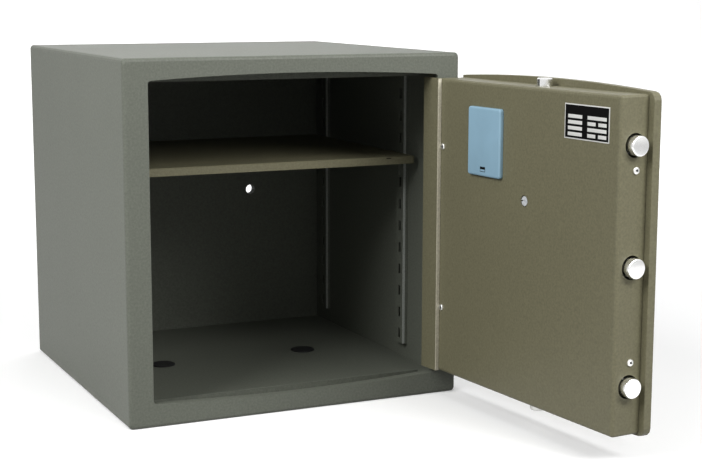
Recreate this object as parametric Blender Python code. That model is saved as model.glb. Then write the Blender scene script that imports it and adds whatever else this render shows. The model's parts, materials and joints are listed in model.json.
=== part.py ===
"""A small steel safe with its door open.

Lengths are in metres and +Z is up. The safe is modelled with its door shut, depths being measured back from
the front face, and the empties then stand it over the origin and swing the door open. The origin is the
middle of the underside of the body.
"""
import math

import bmesh
import bpy
from mathutils import Matrix, Vector

# Driving sizes of the body
BODY_WIDTH = 0.390
BODY_HEIGHT = 0.390
BODY_DEPTH = 0.395
CASING_WALL = 0.004
CASING_BEND = 0.0045
BACK_PLATE_THICKNESS = 0.004
FIT_GAP = 0.0003

# Front frame and the stop behind it
FRAME_THICKNESS = 0.004
FRAME_EDGE_ROUND = 0.0035
POST_WIDTH = 0.02675
RAIL_HEIGHT = 0.0244
OPENING_RAISE = 0.0012
OPENING_CORNER = 0.0035
ARCH_RISE = 0.005
RETURN_WALL = 0.003
STOP_THICKNESS = 0.003
STOP_LIP_SIDE = 0.0034
STOP_NOTCH_CLEARANCE = 0.0025
STRIP_BEHIND_RODS = 0.003
STRIP_OVER_COVER = 0.0005
STRIP_UNDER_OPENING = 0.0057
STRIP_HINGE_SPACE = 0.0033

# Inside of the body
FLOOR_HEIGHT = 0.014
PANEL_THICKNESS = 0.002
FLOOR_FRONT = 0.046
BACK_CAVITY = 0.004
ANCHOR_SPACING = 0.182
ANCHOR_FORWARD = 0.0105
ANCHOR_HOLE = 0.014
WALL_ANCHOR_SPACING = 0.186
WALL_ANCHOR_HOLE = 0.012
PLUG_CAP = 0.029
PLUG_CAP_HEIGHT = 0.0016
PLUG_STEM_LENGTH = 0.008

# Shelf rails and shelf
RAIL_FACE = 0.020
RAIL_DEPTH = 0.006
RAIL_WALL = 0.0015
RAIL_FRONT_DEPTH = 0.114
RAIL_REAR_SPACE = 0.024
RAIL_CLEAR_ENDS = 0.018
SLOT_WIDTH = 0.006
SLOT_HEIGHT = 0.012
SLOT_PITCH = 0.0266
SLOT_END_SPACE = 0.010
SLOT_FIRST_HEIGHT = 0.0439
SHELF_SLOT = 9
SHELF_FRONT_DEPTH = 0.083
SHELF_REAR_SPACE = 0.012
SHELF_SIDE_SPACE = 0.001
SHELF_LIP = 0.009
SHELF_SHEET = 0.0015
SHELF_CORNER = 0.003
SHELF_HOLE_LENGTH = 0.012
SHELF_HOLE_WIDTH = 0.005
SHELF_HOLE_INSET = 0.014
SHELF_HOLE_FROM_SIDE = 0.036
CLIP_THICKNESS = 0.003
CLIP_REACH = 0.011

# Door
DOOR_OPEN_ANGLE = math.radians(94.7)
PLATE_THICKNESS = 0.010
PLATE_GAP = 0.0018
PLATE_CORNER = 0.008
PLATE_EDGE_ROUND = 0.0022
PLATE_BACK_ROUND = 0.0007
PLATE_STOP_GAP = 0.0008
PLATE_BEVEL_LEAD = 0.0005
COVER_DEPTH = 0.0333
COVER_WALL = 0.0015
COVER_BEND = 0.0035
COVER_CORNER = 0.0025
COVER_INNER_CORNER = 0.0008
COVER_LOCK_OVERHANG = 0.0077
COVER_HINGE_OVERHANG = 0.0126
COVER_FROM_OPENING = 0.0044

# Concealed hinge
HINGE_FROM_SIDE = 0.012
HINGE_DEPTH = 0.0245
LEAF_THICKNESS = 0.004
LEAF_ON_COVER = 0.006
LEAF_KNEE_INSET = 0.0073
BARREL_DIAMETER = 0.0115
PIN_DIAMETER = 0.008
PIN_LENGTH = 0.034
BRACKET_THICKNESS = 0.005
BRACKET_WIDTH = 0.020
BRACKET_REACH = 0.008
HINGE_END_PLAY = 0.0006

# Bolts and the works that move them
BOLT_DIAMETER = 0.020
BOLT_LENGTH = 0.052
BOLT_CHAMFER = 0.001
BOLT_HOLE_CLEARANCE = 0.002
BOLT_DEPTH_IN_COVER = 0.0185
BOLT_FRAME_CLEARANCE = 0.001
BOLT_THROW = 0.018
BOLT_FROM_COVER_END = 0.0485
BOLT_RAISE = 0.0006
ROD_DIAMETER = 0.016
ROD_FROM_CAM = 0.0135
ROD_THROW = 0.013
ROD_HOLE_CLEARANCE = 0.0015
ROD_FROM_SPINDLE = 0.006
ROD_PIN_FROM_END = 0.012
ROD_GUIDE_WIDTH = 0.028
ROD_GUIDE_HEIGHT = 0.014
ROD_GUIDE_FROM_COVER = 0.010
CARRIER_SHEET = 0.003
CARRIER_FLANGE = 0.004
CARRIER_OVERRUN = 0.017
CARRIER_BESIDE_SPINDLE = 0.014
CRANK_ANGLE = math.radians(60.0)
CRANK_PIN_DIAMETER = 0.008
SLIDE_CLEARANCE = 0.0005
CAM_RIM = 0.003
CAM_THICKNESS = 0.005
WORKS_BEHIND_COVER = 0.003
PIN_PROUD = 0.001
STUD_DIAMETER = 0.008
STUD_BELOW_BOLT = 0.0427
STUD_BEHIND_BOLTS = 0.018

# Handle, on the spindle
SPINDLE_FROM_COVER_TOP = 0.1182
SPINDLE_BESIDE_BATTERY = 0.0385
SPINDLE_DIAMETER = 0.010
SPINDLE_HOLE = 0.012
SPINDLE_SLOT = 0.0016
HUB_DIAMETER = 0.044
HUB_HEIGHT = 0.026
ROSE_DIAMETER = 0.056
ROSE_THICKNESS = 0.005
LEVER_LENGTH = 0.095
LEVER_WIDTH = 0.018
LEVER_THICKNESS = 0.013
LEVER_TIP_WIDTH = 0.013
LEVER_ROUND = 0.003

# Electronic lock: batteries behind the cover and keypad on the front
BATTERY_COVER_WIDTH = 0.0612
BATTERY_COVER_HEIGHT = 0.0736
BATTERY_COVER_THICKNESS = 0.0022
BATTERY_COVER_ROUND = 0.0012
BATTERY_COVER_CORNER = 0.0024
BATTERY_FROM_HINGE_SIDE = 0.0632
BATTERY_ABOVE_SPINDLE = 0.0184
BATTERY_WINDOW_LAP = 0.0006
BATTERY_BOX_DEPTH = 0.022
BATTERY_BOX_WALL = 0.0012
LATCH_WIDTH = 0.010
LATCH_HEIGHT = 0.006
LATCH_RISE = 0.0045
CELL_DIAMETER = 0.0138
CELL_LENGTH = 0.0505
CELL_COUNT = 4
CELL_TIP_DIAMETER = 0.005
CELL_TIP_LENGTH = 0.0012
MODULE_WIDTH = 0.050
MODULE_HEIGHT = 0.070
MODULE_DEPTH = 0.020
MODULE_DROP = 0.020
KEYPAD_WIDTH = 0.070
KEYPAD_HEIGHT = 0.080
KEYPAD_DEPTH = 0.014
KEYPAD_ROUND = 0.004
KEYPAD_CORNER = 0.006
KEYPAD_WELL_DEPTH = 0.006
KEYPAD_RIM = 0.006
KEY_COLUMNS = 3
KEY_ROWS = 4
KEY_GAP = 0.0030
KEY_PROUD = 0.0012
KEY_TRAVEL = 0.0014
KEY_ROUND = 0.0012
KEY_CORNER = 0.0018

# Fineness of round shapes and of the meshes
CORNER_STEPS = 3
SLOT_END_STEPS = 6
ARCH_STEPS = 10
ROUND_SIDES = 24
SMALL_SIDES = 16
WELD_DISTANCE = 1e-7
SMOOTH_ANGLE = math.radians(35.0)
SIDE_NAMES = ("left", "right")

# Places that follow from the sizes above
HALF_WIDTH = BODY_WIDTH / 2
MIDDLE = BODY_HEIGHT / 2
INSIDE_HALF = HALF_WIDTH - CASING_WALL
OPENING_HALF = HALF_WIDTH - POST_WIDTH
OPENING_HALF_HEIGHT = MIDDLE - RAIL_HEIGHT
OPENING_MIDDLE = MIDDLE + OPENING_RAISE
RETURN_DEPTH = PLATE_THICKNESS + PLATE_STOP_GAP
STOP_FRONT = RETURN_DEPTH + FIT_GAP
STOP_BACK = STOP_FRONT + STOP_THICKNESS
PLATE_HALF = OPENING_HALF - PLATE_GAP
PLATE_HALF_HEIGHT = OPENING_HALF_HEIGHT - PLATE_GAP
COVER_LEFT = -PLATE_HALF + COVER_LOCK_OVERHANG
COVER_RIGHT = PLATE_HALF - COVER_HINGE_OVERHANG
COVER_HALF_HEIGHT = OPENING_HALF_HEIGHT - COVER_FROM_OPENING
COVER_TOP = OPENING_MIDDLE + COVER_HALF_HEIGHT
COVER_BOTTOM = OPENING_MIDDLE - COVER_HALF_HEIGHT
COVER_FRONT = PLATE_THICKNESS + FIT_GAP
COVER_BACK = COVER_FRONT + COVER_DEPTH
WORKS_FRONT = PLATE_THICKNESS + FIT_GAP
WORKS_BACK = COVER_BACK - COVER_WALL
HINGE_X = HALF_WIDTH - HINGE_FROM_SIDE
LEAF_FRONT = COVER_BACK + FIT_GAP
LEAF_BACK = LEAF_FRONT + LEAF_THICKNESS
BACK_PLATE_FRONT = BODY_DEPTH - BACK_PLATE_THICKNESS
INNER_BACK_REAR = BACK_PLATE_FRONT - BACK_CAVITY
INNER_BACK_FRONT = INNER_BACK_REAR - PANEL_THICKNESS
ANCHOR_DEPTH = (FLOOR_FRONT + INNER_BACK_FRONT) / 2 - ANCHOR_FORWARD
RAIL_REAR_DEPTH = INNER_BACK_FRONT - RAIL_REAR_SPACE - RAIL_FACE
RAIL_BOTTOM = FLOOR_HEIGHT + RAIL_CLEAR_ENDS
RAIL_TOP = BODY_HEIGHT - CASING_WALL - RAIL_CLEAR_ENDS
RAIL_BACK_X = INSIDE_HALF - FIT_GAP
RAIL_FACE_X = RAIL_BACK_X - RAIL_DEPTH
SHELF_HALF = RAIL_FACE_X - SHELF_SIDE_SPACE
SLOT_COUNT = int((RAIL_TOP - SLOT_END_SPACE - SLOT_FIRST_HEIGHT) / SLOT_PITCH) + 1
CLIP_TOP = SLOT_FIRST_HEIGHT + SLOT_PITCH * (SHELF_SLOT - 1)
SHELF_BOTTOM = CLIP_TOP + FIT_GAP
SHELF_TOP = SHELF_BOTTOM + SHELF_LIP
SHELF_REAR = INNER_BACK_FRONT - SHELF_REAR_SPACE
BOLT_Y = COVER_BACK - BOLT_DEPTH_IN_COVER
BOLT_MIDDLE = OPENING_MIDDLE + BOLT_RAISE
STRIP_FRONT = BOLT_Y + ROD_DIAMETER / 2 + STRIP_BEHIND_RODS
STRIP_BACK = STRIP_FRONT + STOP_THICKNESS
BOLT_SPACING = COVER_HALF_HEIGHT - BOLT_FROM_COVER_END
BOLT_TIP_X = -OPENING_HALF + BOLT_FRAME_CLEARANCE
BOLT_REAR_X = BOLT_TIP_X + BOLT_LENGTH
BATTERY_X = COVER_RIGHT - BATTERY_FROM_HINGE_SIDE - BATTERY_COVER_WIDTH / 2
SPINDLE_X = BATTERY_X - BATTERY_COVER_WIDTH / 2 - SPINDLE_BESIDE_BATTERY
SPINDLE_HEIGHT = COVER_TOP - SPINDLE_FROM_COVER_TOP
ROD_X = SPINDLE_X - ROD_FROM_SPINDLE
CARRIER_BACK = WORKS_BACK - WORKS_BEHIND_COVER
CARRIER_FRONT = CARRIER_BACK - CARRIER_SHEET
PIN_BACK = CARRIER_BACK + PIN_PROUD
CAM_BACK = CARRIER_FRONT - SLIDE_CLEARANCE
CAM_FRONT = CAM_BACK - CAM_THICKNESS
CRANK_RADIUS = BOLT_THROW / (2 * math.sin(CRANK_ANGLE / 2))
CAM_RADIUS = CRANK_RADIUS + CRANK_PIN_DIAMETER / 2 + CAM_RIM
SPINDLE_BACK = COVER_BACK - FIT_GAP
ROD_REACH = abs(ROD_X) + ROD_DIAMETER / 2 + STOP_NOTCH_CLEARANCE
ROD_ARCH = ARCH_RISE * (1 - (ROD_REACH / (OPENING_HALF - OPENING_CORNER)) ** 2)
ROD_TIP_HALF = OPENING_HALF_HEIGHT + ROD_ARCH - BOLT_FRAME_CLEARANCE
ROD_TIP_TOP = OPENING_MIDDLE + ROD_TIP_HALF
ROD_TIP_BOTTOM = OPENING_MIDDLE - ROD_TIP_HALF
ROD_LENGTH = ROD_TIP_TOP - (SPINDLE_HEIGHT + CAM_RADIUS + ROD_FROM_CAM)
ROD_PIN_LOW = ROD_TIP_BOTTOM + ROD_LENGTH - ROD_PIN_FROM_END
ROD_PIN_HIGH = ROD_TIP_TOP - ROD_LENGTH + ROD_PIN_FROM_END
BATTERY_Z = SPINDLE_HEIGHT + BATTERY_ABOVE_SPINDLE + BATTERY_COVER_HEIGHT / 2
BATTERY_TOP = BATTERY_Z + BATTERY_COVER_HEIGHT / 2
KEYPAD_X = BATTERY_X
KEYPAD_Z = BATTERY_Z


def start_clean():
    for old in list(bpy.data.objects):
        bpy.data.objects.remove(old, do_unlink=True)


def finish(name, colour, roughness, metallic=0.0):
    """A plain Principled material in a part's colour."""
    made = bpy.data.materials.new(name)
    made.use_nodes = True
    shader = made.node_tree.nodes["Principled BSDF"]
    shader.inputs["Base Color"].default_value = (*colour, 1.0)
    shader.inputs["Roughness"].default_value = roughness
    shader.inputs["Metallic"].default_value = metallic
    return made


def empty(name, place, parent=None):
    made = bpy.data.objects.new(name, None)
    bpy.context.collection.objects.link(made)
    made.location = Vector(place) - (Vector(parent["shut_place"]) if parent else Vector())
    made.parent = parent
    made["shut_place"] = Vector(place)
    return made


def piece(name, mesh_data, look, carrier):
    """One named solid, modelled with the door shut and carried by an empty."""
    bmesh.ops.remove_doubles(mesh_data, verts=mesh_data.verts, dist=WELD_DISTANCE)
    bmesh.ops.recalc_face_normals(mesh_data, faces=mesh_data.faces)
    mesh = bpy.data.meshes.new(name)
    mesh_data.to_mesh(mesh)
    mesh_data.free()
    mesh.transform(Matrix.Translation(-Vector(carrier["shut_place"])))
    mesh.shade_smooth()
    mesh.set_sharp_from_angle(angle=SMOOTH_ANGLE)
    made = bpy.data.objects.new(name, mesh)
    bpy.context.collection.objects.link(made)
    made.parent = carrier
    mesh.materials.append(look)
    return made


def outline(half_width, half_height, corner, rise=0.0, arch_steps=0, middle=(0.0, 0.0)):
    """Points round a rectangle with round corners, its top and bottom bowed outwards by rise."""
    flat = half_width - corner
    points = []
    for side in (1, -1):
        for step in range(1, arch_steps + 1):
            share = 1 - 2 * step / (arch_steps + 1)
            bow = rise * (1 - share * share)
            points.append((side * flat * share, side * (half_height + bow)))
        for quarter in (0, 1):
            centre_x = -side * flat
            centre_z = side * (half_height - corner) * (1 if quarter == 0 else -1)
            start = math.pi / 2 * (1 + quarter) + (0 if side > 0 else math.pi)
            for step in range(CORNER_STEPS + 1):
                turn = start + math.pi / 2 * step / CORNER_STEPS
                points.append((centre_x + corner * math.cos(turn), centre_z + corner * math.sin(turn)))
    return [(x + middle[0], z + middle[1]) for x, z in points]


def circle(radius, sides, middle=(0.0, 0.0)):
    turns = [2 * math.pi * step / sides for step in range(sides)]
    return [(middle[0] + radius * math.cos(t), middle[1] + radius * math.sin(t)) for t in turns]


def slot(length, width, slope=0.0, middle=(0.0, 0.0)):
    """Points round a slot: two half circles, length being between their centres."""
    points = []
    for end in (1, -1):
        for step in range(SLOT_END_STEPS + 1):
            turn = slope - math.pi / 2 + math.pi * step / SLOT_END_STEPS + (0 if end > 0 else math.pi)
            reach_x = end * length / 2 * math.cos(slope) + width / 2 * math.cos(turn)
            reach_z = end * length / 2 * math.sin(slope) + width / 2 * math.sin(turn)
            points.append((middle[0] + reach_x, middle[1] + reach_z))
    return points


def lay(points, along, level):
    """Put flat points into space: the plane stands across X, Y or Z at the given level."""
    if along == "x":
        return [Vector((level, a, b)) for a, b in points]
    if along == "y":
        return [Vector((a, level, b)) for a, b in points]
    return [Vector((a, b, level)) for a, b in points]


def skin(rings, closed=False):
    """A solid through rings of equal count, capped at both ends or joined round on itself."""
    made = bmesh.new()
    rows = [[made.verts.new(point) for point in ring] for ring in rings]
    pairs = list(zip(rows, rows[1:]))
    if closed:
        pairs.append((rows[-1], rows[0]))
    for first, second in pairs:
        count = len(first)
        for i in range(count):
            j = (i + 1) % count
            made.faces.new((first[i], first[j], second[j], second[i]))
    if not closed:
        made.faces.new(rows[0])
        made.faces.new(list(reversed(rows[-1])))
    bmesh.ops.recalc_face_normals(made, faces=made.faces)
    return made


def prism(points, along, low, high):
    return skin([lay(points, along, low), lay(points, along, high)])


def block(low, high):
    corners = [(low[0], low[2]), (high[0], low[2]), (high[0], high[2]), (low[0], high[2])]
    return prism(corners, "y", low[1], high[1])


def turned(along, middle, radius, low, high, chamfer_low=0.0, chamfer_high=0.0, sides=ROUND_SIDES):
    """A round bar between two levels, with an optional chamfer at either end."""
    rings = []
    if chamfer_low:
        rings.append(lay(circle(radius - chamfer_low, sides, middle), along, low))
    rings.append(lay(circle(radius, sides, middle), along, low + chamfer_low))
    rings.append(lay(circle(radius, sides, middle), along, high - chamfer_high))
    if chamfer_high:
        rings.append(lay(circle(radius - chamfer_high, sides, middle), along, high))
    return skin(rings)


def join(*parts):
    """Several closed bodies in one mesh, still separate."""
    made = bmesh.new()
    for part in parts:
        mesh = bpy.data.meshes.new("joined")
        part.to_mesh(mesh)
        part.free()
        made.from_mesh(mesh)
        bpy.data.meshes.remove(mesh)
    return made


def combine(base, tool, operation):
    """Boolean of two closed bodies, both used up."""
    made = []
    for name, data in (("base", base), ("tool", tool)):
        bmesh.ops.recalc_face_normals(data, faces=data.faces)
        mesh = bpy.data.meshes.new(name)
        data.to_mesh(mesh)
        data.free()
        holder = bpy.data.objects.new(name, mesh)
        bpy.context.collection.objects.link(holder)
        made.append(holder)
    cutting = made[0].modifiers.new("combine", "BOOLEAN")
    cutting.object = made[1]
    cutting.operation = operation
    graph = bpy.context.evaluated_depsgraph_get()
    result = bmesh.new()
    result.from_object(made[0], graph)
    for holder in made:
        mesh = holder.data
        bpy.data.objects.remove(holder, do_unlink=True)
        bpy.data.meshes.remove(mesh)
    return result


def cut(base, *tools):
    for tool in tools:
        base = combine(base, tool, "DIFFERENCE")
    return base


def fuse(base, *tools):
    for tool in tools:
        base = combine(base, tool, "UNION")
    return base


def pillow(points_at, along, low, high, low_round=0.0, high_round=0.0):
    """A plate whose edges are rounded: points_at(inset) gives its outline drawn in by an inset."""
    rings = []
    for end, radius in ((low, low_round), (high, high_round)):
        inward = 1 if end == low else -1
        steps = CORNER_STEPS if radius else 0
        arc = []
        for step in range(steps + 1):
            turn = math.pi / 2 * step / max(steps, 1)
            inset = radius * (1 - math.sin(turn))
            level = end + inward * radius * (1 - math.cos(turn))
            arc.append(lay(points_at(inset), along, level))
        rings += arc if end == low else list(reversed(arc))
    return skin(rings)


def build_casing(paint, root):
    """The four walls in one bent sheet, with the anchor holes in its floor."""
    front = FRAME_THICKNESS + FIT_GAP
    rear = BACK_PLATE_FRONT - FIT_GAP
    outer = outline(HALF_WIDTH, MIDDLE, CASING_BEND, middle=(0, MIDDLE))
    inner_bend = max(CASING_BEND - CASING_WALL, FIT_GAP)
    inner = outline(INSIDE_HALF, MIDDLE - CASING_WALL, inner_bend, middle=(0, MIDDLE))
    rings = [lay(outer, "y", front), lay(outer, "y", rear), lay(inner, "y", rear), lay(inner, "y", front)]
    shell = skin(rings, True)
    for x in anchor_places():
        hole = turned("z", (x, ANCHOR_DEPTH), ANCHOR_HOLE / 2, -CASING_WALL, 2 * CASING_WALL,
                      sides=SMALL_SIDES)
        shell = cut(shell, hole)
    piece("casing", shell, paint, root)


def anchor_places():
    return (-ANCHOR_SPACING / 2, ANCHOR_SPACING / 2)


def wall_anchor_cutters(front, rear):
    places = (-WALL_ANCHOR_SPACING / 2, WALL_ANCHOR_SPACING / 2)
    radius = WALL_ANCHOR_HOLE / 2
    return [turned("y", (x, MIDDLE), radius, front, rear, sides=SMALL_SIDES) for x in places]


def build_back(paint, root):
    """The outer back plate and the panel in front of it, drilled through for two wall anchors."""

    def plate_outline(inset):
        return outline(HALF_WIDTH - inset, MIDDLE - inset, CASING_BEND, middle=(0, MIDDLE))

    plate = pillow(plate_outline, "y", BACK_PLATE_FRONT, BODY_DEPTH, 0.0, FRAME_EDGE_ROUND)
    plate = cut(plate, *wall_anchor_cutters(BACK_PLATE_FRONT - PANEL_THICKNESS, BODY_DEPTH + PANEL_THICKNESS))
    piece("back_plate", plate, paint, root)
    half = INSIDE_HALF - FIT_GAP
    panel = block((-half, INNER_BACK_FRONT, CASING_WALL + FIT_GAP),
                  (half, INNER_BACK_REAR, BODY_HEIGHT - CASING_WALL - FIT_GAP))
    panel = cut(panel, *wall_anchor_cutters(INNER_BACK_FRONT - PANEL_THICKNESS, BACK_PLATE_FRONT))
    piece("inner_back_panel", panel, paint, root)


def opening_ring(grow, level):
    points = outline(OPENING_HALF + grow, OPENING_HALF_HEIGHT + grow, OPENING_CORNER, ARCH_RISE, ARCH_STEPS,
                     (0, OPENING_MIDDLE))
    return lay(points, "y", level)


def build_front_frame(paint, root):
    """The frame round the door: a bowed opening whose edge turns back to the stop."""

    def outer_ring(inset, level):
        points = outline(HALF_WIDTH - inset, MIDDLE - inset, CASING_BEND, 0.0, ARCH_STEPS, (0, MIDDLE))
        return lay(points, "y", level)

    rings = []
    for step in range(CORNER_STEPS + 1):
        turn = math.pi / 2 * step / CORNER_STEPS
        inset = FRAME_EDGE_ROUND * (1 - math.cos(turn))
        rings.append(outer_ring(inset, FRAME_EDGE_ROUND * (1 - math.sin(turn))))
    rings.append(opening_ring(0.0, 0.0))
    rings.append(opening_ring(0.0, RETURN_DEPTH))
    rings.append(opening_ring(RETURN_WALL, RETURN_DEPTH))
    rings.append(opening_ring(RETURN_WALL, FRAME_THICKNESS))
    rings.append(outer_ring(0.0, FRAME_THICKNESS))
    piece("front_frame", skin(rings, True), paint, root)


def build_door_stop(paint, root):
    """One bent sheet: a notched lip that the plate shuts against, and strips behind the upright bolts."""
    left = -INSIDE_HALF + FIT_GAP
    lip = -OPENING_HALF + STOP_LIP_SIDE
    low = CASING_WALL + FIT_GAP
    high = BODY_HEIGHT - CASING_WALL - FIT_GAP
    bend = left + STOP_THICKNESS
    section = [(left, STOP_FRONT), (lip, STOP_FRONT), (lip, STOP_BACK), (bend, STOP_BACK), (bend, STRIP_BACK),
               (left, STRIP_BACK)]
    stop = prism(section, "z", low, high)
    half_notch = BOLT_DIAMETER / 2 + STOP_NOTCH_CLEARANCE
    for z in bolt_heights().values():
        notch = block((-OPENING_HALF, STOP_FRONT - STOP_THICKNESS, z - half_notch),
                      (lip + STOP_LIP_SIDE, STOP_BACK + STOP_THICKNESS, z + half_notch))
        stop = cut(stop, notch)
    right = OPENING_HALF - STRIP_HINGE_SPACE
    over = COVER_TOP + STRIP_OVER_COVER
    under = OPENING_MIDDLE - OPENING_HALF_HEIGHT - STRIP_UNDER_OPENING
    for strip_low, strip_high in ((over, high), (low, under)):
        stop = fuse(stop, block((left, STRIP_FRONT, strip_low), (right, STRIP_BACK, strip_high)))
    piece("door_stop", stop, paint, root)


def build_floor(paint, plastic, root):
    """A raised floor with turned-down edges, and a plug in each anchor hole."""
    low = CASING_WALL + FIT_GAP
    rear = INNER_BACK_FRONT - FIT_GAP
    under = FLOOR_HEIGHT - PANEL_THICKNESS
    wall = PANEL_THICKNESS
    section = [(FLOOR_FRONT, low), (FLOOR_FRONT, FLOOR_HEIGHT), (rear, FLOOR_HEIGHT), (rear, low),
               (rear - wall, low), (rear - wall, under), (FLOOR_FRONT + wall, under),
               (FLOOR_FRONT + wall, low)]
    half = INSIDE_HALF - FIT_GAP
    tray = prism(section, "x", -half, half)
    for x, name in zip(anchor_places(), SIDE_NAMES):
        place = (x, ANCHOR_DEPTH)
        tray = cut(tray, turned("z", place, ANCHOR_HOLE / 2, 0, 2 * FLOOR_HEIGHT, sides=SMALL_SIDES))
        cap_low = FLOOR_HEIGHT + FIT_GAP
        cap_high = cap_low + PLUG_CAP_HEIGHT
        stem_radius = ANCHOR_HOLE / 2 - FIT_GAP
        rings = [(stem_radius, cap_low - PLUG_STEM_LENGTH), (stem_radius, cap_low), (PLUG_CAP / 2, cap_low),
                 (PLUG_CAP / 2, cap_high - PLUG_CAP_HEIGHT / 2), (PLUG_CAP / 2 - PLUG_CAP_HEIGHT, cap_high)]
        plug = skin([lay(circle(r, ROUND_SIDES, place), "z", z) for r, z in rings])
        piece(f"anchor_plug_{name}", plug, plastic, root)
    piece("inner_floor", tray, paint, root)


def build_rails(paint, root):
    """Four channels with a row of slots for the shelf clips."""
    for side, side_name in zip((-1, 1), SIDE_NAMES):
        for front, place_name in ((RAIL_FRONT_DEPTH, "front"), (RAIL_REAR_DEPTH, "rear")):
            rear = front + RAIL_FACE
            section = [(RAIL_BACK_X, front), (RAIL_FACE_X, front), (RAIL_FACE_X, rear), (RAIL_BACK_X, rear),
                       (RAIL_BACK_X, rear - RAIL_WALL), (RAIL_FACE_X + RAIL_WALL, rear - RAIL_WALL),
                       (RAIL_FACE_X + RAIL_WALL, front + RAIL_WALL), (RAIL_BACK_X, front + RAIL_WALL)]
            section = [(side * x, y) for x, y in section]
            rail = prism(section, "z", RAIL_BOTTOM, RAIL_TOP)
            middle = front + RAIL_FACE / 2
            slots = []
            for number in range(SLOT_COUNT):
                z = SLOT_FIRST_HEIGHT + SLOT_PITCH * number
                near = min(side * (RAIL_FACE_X - RAIL_WALL), side * (RAIL_FACE_X + 2 * RAIL_WALL))
                far = max(side * (RAIL_FACE_X - RAIL_WALL), side * (RAIL_FACE_X + 2 * RAIL_WALL))
                slots.append(block((near, middle - SLOT_WIDTH / 2, z - SLOT_HEIGHT / 2),
                                   (far, middle + SLOT_WIDTH / 2, z + SLOT_HEIGHT / 2)))
            piece(f"rail_{side_name}_{place_name}", cut(rail, join(*slots)), paint, root)


def build_shelf(olive, steel, root, lift):
    """A shelf folded down on all four sides, on clips hooked into the rails."""
    middle_y = (SHELF_FRONT_DEPTH + SHELF_REAR) / 2
    half_depth = (SHELF_REAR - SHELF_FRONT_DEPTH) / 2

    def tray(inset, level):
        points = outline(SHELF_HALF - inset, half_depth - inset, SHELF_CORNER, middle=(0, middle_y))
        return lay(points, "z", level)

    under = SHELF_TOP - SHELF_SHEET
    top = [tray(0, SHELF_BOTTOM), tray(0, SHELF_TOP - SHELF_SHEET / 2), tray(SHELF_SHEET / 2, SHELF_TOP)]
    sheet = skin([tray(SHELF_SHEET, under), tray(SHELF_SHEET, SHELF_BOTTOM)] + top)
    hole_x = SHELF_HALF - SHELF_HOLE_FROM_SIDE
    hole_y = SHELF_FRONT_DEPTH + SHELF_HOLE_INSET
    hole = slot(SHELF_HOLE_LENGTH - SHELF_HOLE_WIDTH, SHELF_HOLE_WIDTH, middle=(hole_x, hole_y))
    sheet = cut(sheet, prism(hole, "z", SHELF_BOTTOM, SHELF_TOP + SHELF_LIP))
    piece("shelf", sheet, olive, lift)
    width = SLOT_WIDTH / 2 - FIT_GAP
    for side, side_name in zip((-1, 1), SIDE_NAMES):
        for front, place_name in ((RAIL_FRONT_DEPTH, "front"), (RAIL_REAR_DEPTH, "rear")):
            y = front + RAIL_FACE / 2
            face = RAIL_FACE_X - FIT_GAP
            hook = RAIL_FACE_X + RAIL_WALL + FIT_GAP
            tail = hook + RAIL_WALL
            bottom = CLIP_TOP - SLOT_HEIGHT / 2 + FIT_GAP
            under = CLIP_TOP - CLIP_THICKNESS
            leg = bottom - SLOT_HEIGHT
            inner = face - CLIP_THICKNESS
            end = face - CLIP_REACH
            section = [(end, CLIP_TOP), (end, under), (inner, under), (inner, leg), (face, leg),
                       (face, bottom), (hook, bottom), (hook, bottom - CLIP_THICKNESS),
                       (tail, bottom - CLIP_THICKNESS), (tail, CLIP_TOP)]
            section = [(side * x, z) for x, z in section]
            clip = prism(section, "y", y - width, y + width)
            piece(f"shelf_clip_{side_name}_{place_name}", clip, steel, root)


def build_hinge(paint, steel, root, door):
    """A cranked leaf on the door, and pins in two brackets behind the right post."""
    start = COVER_RIGHT - LEAF_ON_COVER
    knee = HINGE_X - LEAF_KNEE_INSET
    lean = Vector((HINGE_X - knee, HINGE_DEPTH - LEAF_BACK)).normalized()
    across = Vector((-lean.y, lean.x)) * LEAF_THICKNESS
    leg_end = Vector((HINGE_X, HINGE_DEPTH)) - across / 2
    inner_knee = leg_end + lean * ((LEAF_FRONT - leg_end.y) / lean.y)
    outer_end = leg_end + across
    outer_knee = outer_end + lean * ((LEAF_BACK - outer_end.y) / lean.y)
    profile = [(start, LEAF_FRONT), tuple(inner_knee), tuple(leg_end), tuple(outer_end), tuple(outer_knee),
               (start, LEAF_BACK)]
    leaf = prism(profile, "z", COVER_BOTTOM, COVER_TOP)
    axis = (HINGE_X, HINGE_DEPTH)
    leaf = fuse(leaf, turned("z", axis, BARREL_DIAMETER / 2, COVER_BOTTOM, COVER_TOP, sides=SMALL_SIDES))
    bore = PIN_DIAMETER / 2 + FIT_GAP
    leaf = cut(leaf, turned("z", axis, bore, COVER_BOTTOM - PIN_LENGTH, COVER_TOP + PIN_LENGTH,
                            sides=SMALL_SIDES))
    piece("hinge_leaf", leaf, paint, door)
    for side, name, level in ((1, "top", COVER_TOP), (-1, "bottom", COVER_BOTTOM)):
        near = level + side * HINGE_END_PLAY
        far = near + side * BRACKET_THICKNESS
        low, high = min(near, far), max(near, far)
        bracket = block((HINGE_X - BRACKET_REACH, HINGE_DEPTH - BRACKET_WIDTH / 2, low),
                        (INSIDE_HALF - FIT_GAP, HINGE_DEPTH + BRACKET_WIDTH / 2, high))
        hole = turned("z", axis, bore, low - PIN_LENGTH, high + PIN_LENGTH, sides=SMALL_SIDES)
        bracket = cut(bracket, hole)
        piece(f"hinge_bracket_{name}", bracket, paint, root)
        tip = far - side * PIN_LENGTH
        pin = turned("z", axis, PIN_DIAMETER / 2, min(far, tip), max(far, tip), sides=SMALL_SIDES)
        piece(f"hinge_pin_{name}", pin, steel, root)


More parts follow.
